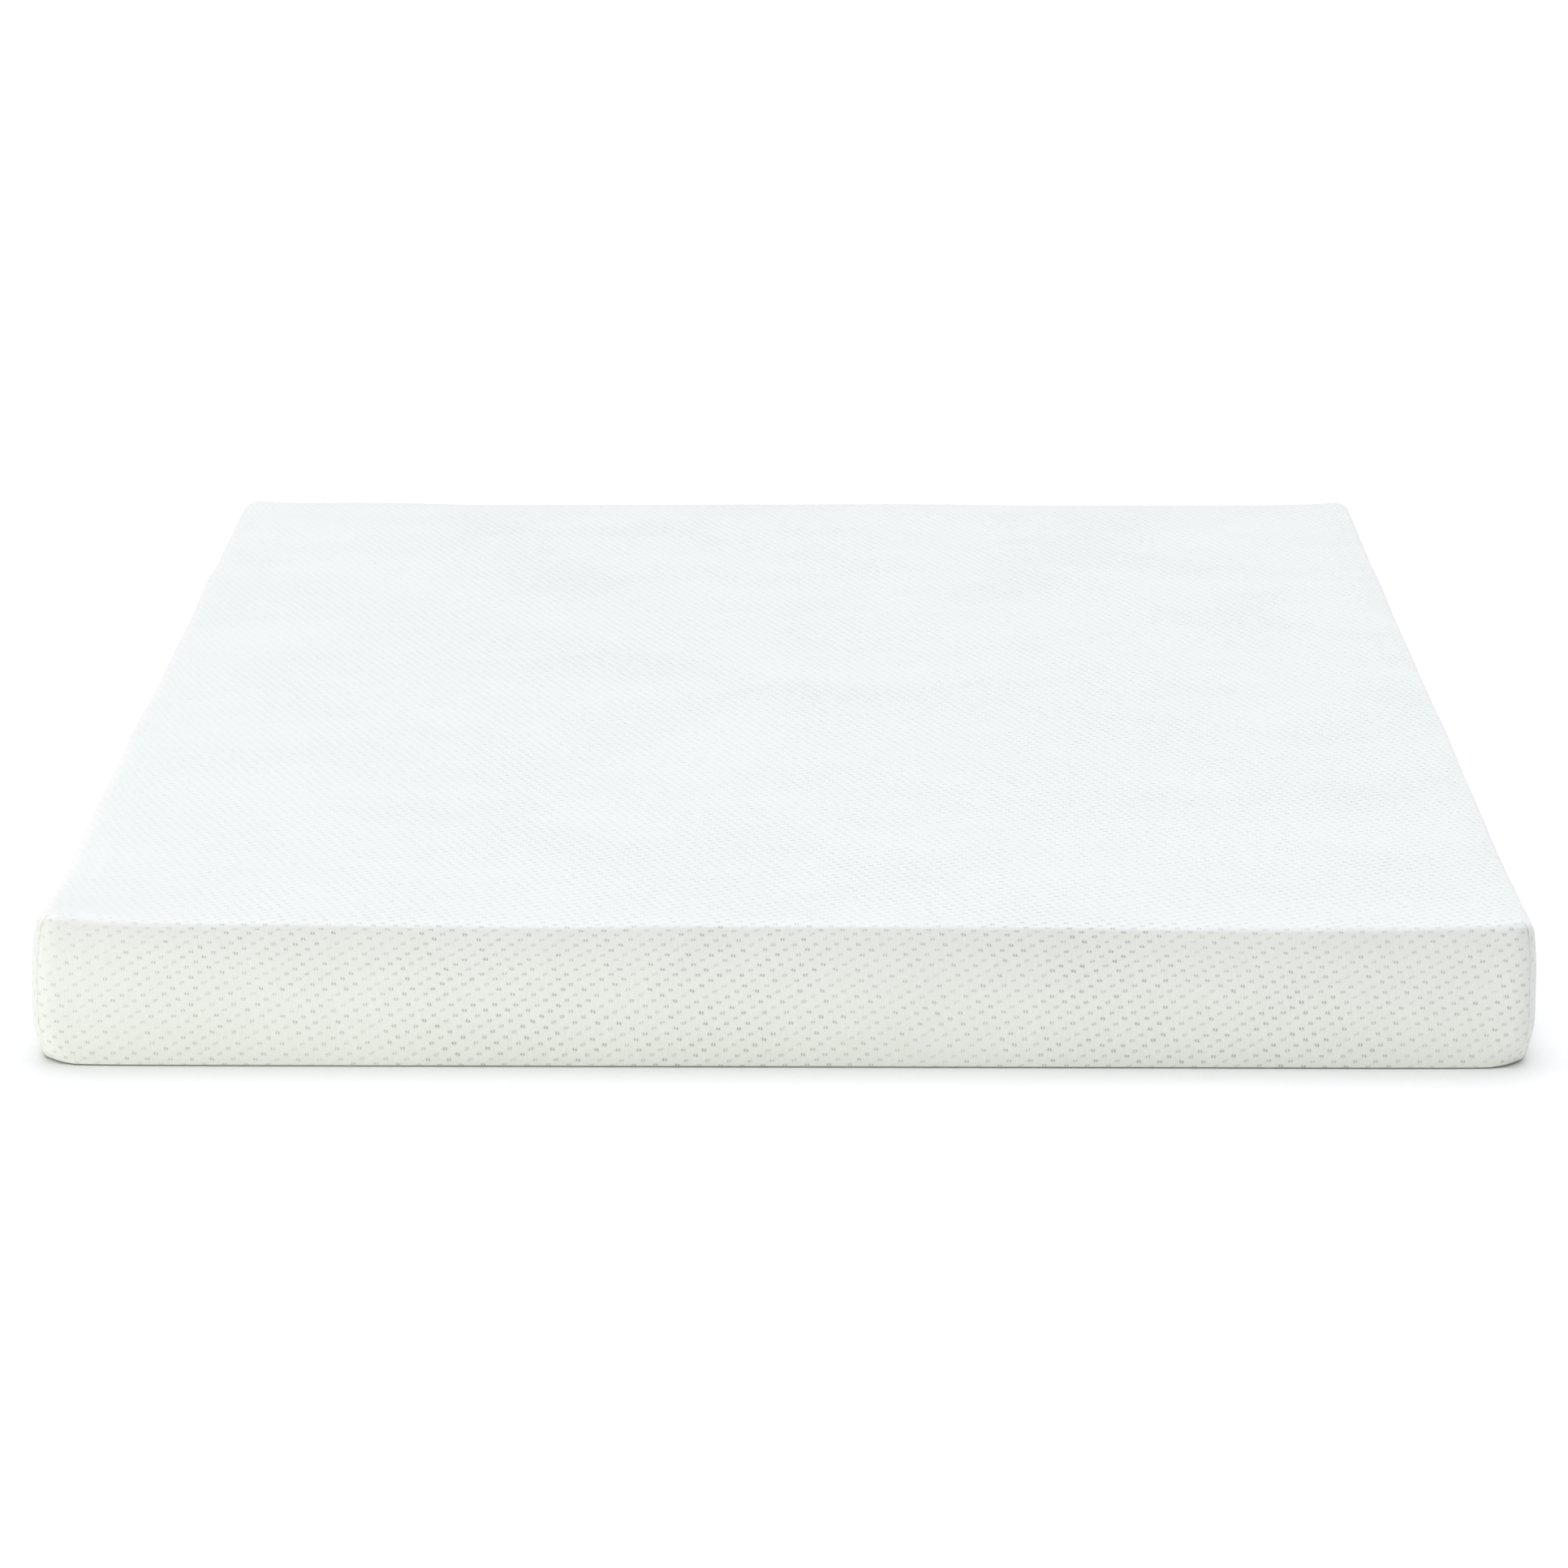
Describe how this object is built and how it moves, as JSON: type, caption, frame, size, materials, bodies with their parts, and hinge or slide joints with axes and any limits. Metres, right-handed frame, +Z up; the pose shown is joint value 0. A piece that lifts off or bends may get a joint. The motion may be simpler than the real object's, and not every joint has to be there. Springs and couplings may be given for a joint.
{
  "type": "memory foam mattress",
  "caption": "Flat memory foam mattress in a pale knit zip-off cover: white top, sage walls, foam layers in a barrier sleeve, zip and labels at the rear.",
  "frame": {"origin": "middle of the underside, where the mattress rests", "axes": "+X to the right across the width, +Y along the length to the rear end with the zip, +Z up through the thickness"},
  "size_m": [1.524, 2.033, 0.152],
  "materials": {
    "cover_knit": "matte",
    "underside_fabric": "matte",
    "barrier_knit": "matte",
    "memory_foam": "matte",
    "comfort_foam": "matte",
    "base_foam": "matte",
    "adhesive": "satin",
    "thread": "matte",
    "zip_tape": "matte",
    "zip_nylon": "satin",
    "zip_metal": "satin",
    "law_label_fabric": "matte",
    "care_label_satin": "satin"
  },
  "bodies": {
    "mattress": {"memory_foam_layer": "memory_foam", "adhesive_upper": "adhesive", "comfort_foam_layer": "comfort_foam", "adhesive_lower": "adhesive", "base_foam_layer": "base_foam", "barrier_sock": "barrier_knit", "sock_seam_front": "thread", "sock_seam_rear": "thread", "cover_cap": "cover_knit", "corner_seam_front_left": "thread", "corner_seam_front_right": "thread", "corner_seam_rear_left": "thread", "corner_seam_rear_right": "thread", "cover_rear_strip": "cover_knit", "cover_bottom_panel": "underside_fabric", "bottom_seam": "thread", "zip_tape_upper": "zip_tape", "zip_tape_lower": "zip_tape", "zip_coil_upper": "zip_nylon", "zip_coil_lower": "zip_nylon", "zip_stop_left": "zip_metal", "zip_stop_right": "zip_metal", "zip_bartacks": "thread", "zip_stitching_upper": "thread", "zip_stitching_lower": "thread", "law_label_stitching": "thread", "care_label_stitching": "thread"},
    "zip_slider_body": {"zip_slider": "zip_metal"},
    "zip_pull_body": {"zip_pull": "zip_metal"},
    "law_label_body": {"law_label": "law_label_fabric"},
    "care_label_body": {"care_label": "care_label_satin"}
  },
  "joints": [
    {"name": "zip_slide", "type": "slide", "parent": "mattress", "child": "zip_slider_body", "axis": [-1, 0, 0], "range_m": [0, 1.377]},
    {"name": "zip_pull_turn", "type": "hinge", "parent": "zip_slider_body", "child": "zip_pull_body", "pos_m": [0.6885, 1.0142, 0.034], "axis": [0, 0, -1], "range_deg": [0, 165]},
    {"name": "law_label_swing", "type": "hinge", "parent": "mattress", "child": "law_label_body", "pos_m": [-0.43, 1.0165, 0.124], "axis": [1, 0, 0], "range_deg": [0, 120]},
    {"name": "care_label_swing", "type": "hinge", "parent": "mattress", "child": "care_label_body", "pos_m": [-0.34, 1.0165, 0.124], "axis": [1, 0, 0], "range_deg": [0, 120]}
  ]
}
